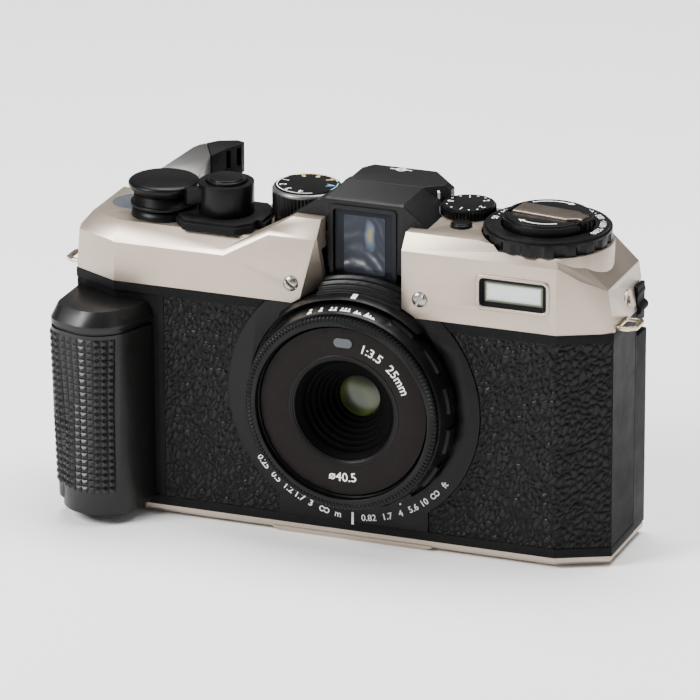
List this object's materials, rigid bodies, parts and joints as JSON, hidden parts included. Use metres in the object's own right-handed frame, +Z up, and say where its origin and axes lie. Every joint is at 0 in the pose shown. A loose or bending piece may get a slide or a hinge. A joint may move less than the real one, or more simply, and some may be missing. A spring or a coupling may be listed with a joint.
{
  "type": "half frame camera",
  "caption": "Compact film camera with a pale metal top cover and base, black leatherette body, side grip, short fixed lens, tall viewfinder hood and top dials.",
  "frame": {"origin": "centre of the tripod socket mouth in the underside, which is the level the camera stands on, below the lens axis", "axes": "+Z up, -Y forward along the lens axis, +X to the right seen from in front of the camera"},
  "size_m": [0.1356, 0.0507, 0.0784],
  "materials": {
    "champagne": "satin metallic paint",
    "black_trim": "fine matt black",
    "black_crinkle": "textured matt black paint",
    "black_satin": "satin black",
    "leatherette": "coarse pebbled grain",
    "grip_black": "fine matt texture, knurled field",
    "gunmetal": "satin grey",
    "name_brown": "satin dark brown",
    "bright_metal": "polished",
    "steel": "brushed",
    "brass": "machined",
    "clear_glass": "clear",
    "lens_glass": "coated",
    "smoked_window": "smoked",
    "board_green": "solder mask",
    "capacitor_sleeve": "shrink sleeve",
    "flash_silver": "reflector",
    "lamp": "clear lamp",
    "film_black": "semi-gloss black"
  },
  "bodies": {
    "body": {"bottom_plate": "champagne", "tripod_socket": "steel", "bottom_screws": "steel", "film_chassis": "black_trim", "front_shell": "black_trim", "front_leather": "leatherette", "grip_shell": "grip_black", "battery_contacts": "brass", "top_cover": "champagne", "cover_screws": "bright_metal", "strap_lugs": "bright_metal", "flash_bezel": "bright_metal", "flash_window": "clear_glass", "flash_reflector": "flash_silver", "flash_tube": "clear_glass", "flash_capacitor": "capacitor_sleeve", "circuit_board": "board_green", "lens_base": "black_satin", "shutter_case": "film_black", "viewfinder_hood": "black_crinkle", "viewfinder_window": "clear_glass", "eyepiece_frame": "black_trim", "eyepiece_lens": "clear_glass", "indicator_lamps": "lamp", "counter_window": "smoked_window", "shutter_base": "black_trim", "hinge_pin": "steel"},
    "focus": {"focus_ring": "black_satin"},
    "lens_cell": {"lens_barrel": "black_satin", "name_ring": "name_brown", "lens_baffle": "black_trim", "front_element": "lens_glass", "rear_elements": "clear_glass", "light_sensor": "smoked_window"},
    "blade_a": {"shutter_blade_a": "film_black"},
    "blade_b": {"shutter_blade_b": "film_black"},
    "lever": {"wind_lever": "gunmetal", "lever_tip": "black_trim", "lever_cap": "black_satin", "wind_shaft": "steel"},
    "idler": {"idler_gear": "brass"},
    "sprocket": {"film_sprocket": "film_black"},
    "spool": {"take_up_spool": "film_black"},
    "counter": {"frame_counter": "black_satin"},
    "power_switch": {"power_lever": "black_satin"},
    "release_button": {"shutter_button": "black_satin"},
    "mode": {"mode_dial": "black_satin"},
    "exposure": {"exposure_dial": "black_satin"},
    "iso": {"iso_dial": "black_satin"},
    "iso_lock": {"iso_lock_button": "black_satin"},
    "rewind_turn": {"rewind_sleeve": "steel"},
    "rewind_lift": {"rewind_knob": "black_satin"},
    "crank": {"rewind_crank": "gunmetal"},
    "crank_grip": {"crank_knob": "black_trim"},
    "rewind_clutch": {"rewind_release": "steel"},
    "door": {"back_door": "black_trim", "door_leather": "leatherette"},
    "film_pressure": {"pressure_plate": "film_black"},
    "latch": {"door_latch": "black_trim"},
    "battery_cap": {"battery_cover": "black_trim"}
  },
  "joints": [
    {"name": "wind_lever", "type": "hinge", "parent": "body", "child": "lever", "pos_m": [-0.0495, -0.0025, 0.07], "axis": [0, 0, 1], "range_deg": [0, 130], "stiffness_Nm_per_rad": 0.01, "springref_deg": -28.65},
    {"name": "idler_gear", "type": "hinge", "parent": "body", "child": "idler", "pos_m": [-0.03622, 0.00105, 0.058], "axis": [0, 0, 1], "range_deg": [-250, 5]},
    {"name": "film_sprocket", "type": "hinge", "parent": "body", "child": "sprocket", "pos_m": [-0.02535, 0.00395, 0.03], "axis": [0, 0, 1], "range_deg": [-5, 185]},
    {"name": "take_up_spool", "type": "hinge", "parent": "body", "child": "spool", "pos_m": [-0.0495, -0.0025, 0.03], "axis": [0, 0, 1], "range_deg": [-5, 165]},
    {"name": "frame_counter", "type": "hinge", "parent": "body", "child": "counter", "pos_m": [-0.0583, 0.0024, 0.065], "axis": [0, 0, 1], "range_deg": [-1, 6]},
    {"name": "power_switch", "type": "hinge", "parent": "body", "child": "power_switch", "pos_m": [-0.0344, -0.0027, 0.074], "axis": [0, 0, 1], "range_deg": [0, 25]},
    {"name": "shutter_button", "type": "slide", "parent": "body", "child": "release_button", "axis": [0, 0, -1], "range_m": [0, 0.0015], "stiffness_N_per_m": 300, "springref_m": -0.001},
    {"name": "mode_dial", "type": "hinge", "parent": "body", "child": "mode", "pos_m": [-0.0172, 0.0027, 0.072], "axis": [0, 0, 1], "range_deg": [-110, 110]},
    {"name": "exposure_dial", "type": "hinge", "parent": "body", "child": "exposure", "pos_m": [0.0199, 0.0055, 0.074], "axis": [0, 0, 1], "range_deg": [-90, 90]},
    {"name": "iso_dial", "type": "hinge", "parent": "body", "child": "iso", "pos_m": [0.0402, 0.00035, 0.072], "axis": [0, 0, 1], "range_deg": [-135, 135]},
    {"name": "iso_lock", "type": "slide", "parent": "body", "child": "iso_lock", "axis": [0, 0, -1], "range_m": [0, 0.0008], "stiffness_N_per_m": 300, "springref_m": -0.001},
    {"name": "rewind_turn", "type": "hinge", "parent": "body", "child": "rewind_turn", "pos_m": [0.0402, 0.00035, 0.07], "axis": [0, 0, 1], "continuous": true},
    {"name": "rewind_lift", "type": "slide", "parent": "rewind_turn", "child": "rewind_lift", "axis": [0, 0, 1], "range_m": [0, 0.008]},
    {"name": "crank_fold", "type": "hinge", "parent": "rewind_lift", "child": "crank", "pos_m": [0.03327, 0.00132, 0.0775], "axis": [-0.1392, -0.9903, 0], "range_deg": [0, 145]},
    {"name": "crank_grip_spin", "type": "hinge", "parent": "crank", "child": "crank_grip", "pos_m": [0.04812, -0.00076, 0.0753], "axis": [0, 0, 1], "continuous": true},
    {"name": "focus_ring", "type": "hinge", "parent": "body", "child": "focus", "pos_m": [0, -0.018, 0.0333], "axis": [0, -1, 0], "range_deg": [0, 120]},
    {"name": "lens_cell", "type": "slide", "parent": "body", "child": "lens_cell", "axis": [0, -1, 0], "range_m": [0, 0.0029]},
    {"name": "shutter_blade_a", "type": "hinge", "parent": "body", "child": "blade_a", "pos_m": [0, -0.0019, 0.0408], "axis": [0, -1, 0], "range_deg": [0, 65]},
    {"name": "shutter_blade_b", "type": "hinge", "parent": "body", "child": "blade_b", "pos_m": [0, -0.0006, 0.0258], "axis": [0, -1, 0], "range_deg": [-1, 66]},
    {"name": "back_door", "type": "hinge", "parent": "body", "child": "door", "pos_m": [-0.0671, 0.0122, 0.028], "axis": [0, 0, 1], "range_deg": [0, 120]},
    {"name": "pressure_plate", "type": "slide", "parent": "door", "child": "film_pressure", "axis": [0, 1, 0], "range_m": [0, 0.0008], "stiffness_N_per_m": 400, "springref_m": -0.0012},
    {"name": "door_latch", "type": "slide", "parent": "body", "child": "latch", "axis": [0, 0, -1], "range_m": [0, 0.0025]},
    {"name": "rewind_release", "type": "slide", "parent": "body", "child": "rewind_clutch", "axis": [0, 0, 1], "range_m": [0, 0.0012], "stiffness_N_per_m": 200, "springref_m": -0.001},
    {"name": "battery_cover", "type": "slide", "parent": "body", "child": "battery_cap", "axis": [0, 0, -1], "range_m": [0, 0.012]}
  ],
  "couplings": [
    {"joint": "idler_gear", "follows": "wind_lever", "ratio": -1.8947},
    {"joint": "film_sprocket", "follows": "wind_lever", "ratio": 1.3846},
    {"joint": "take_up_spool", "follows": "wind_lever", "ratio": 1.2115},
    {"joint": "frame_counter", "follows": "wind_lever", "ratio": 0.04},
    {"joint": "lens_cell", "follows": "focus_ring", "m_per_rad": 0.001337},
    {"joint": "shutter_blade_b", "follows": "shutter_blade_a", "ratio": 1}
  ]
}
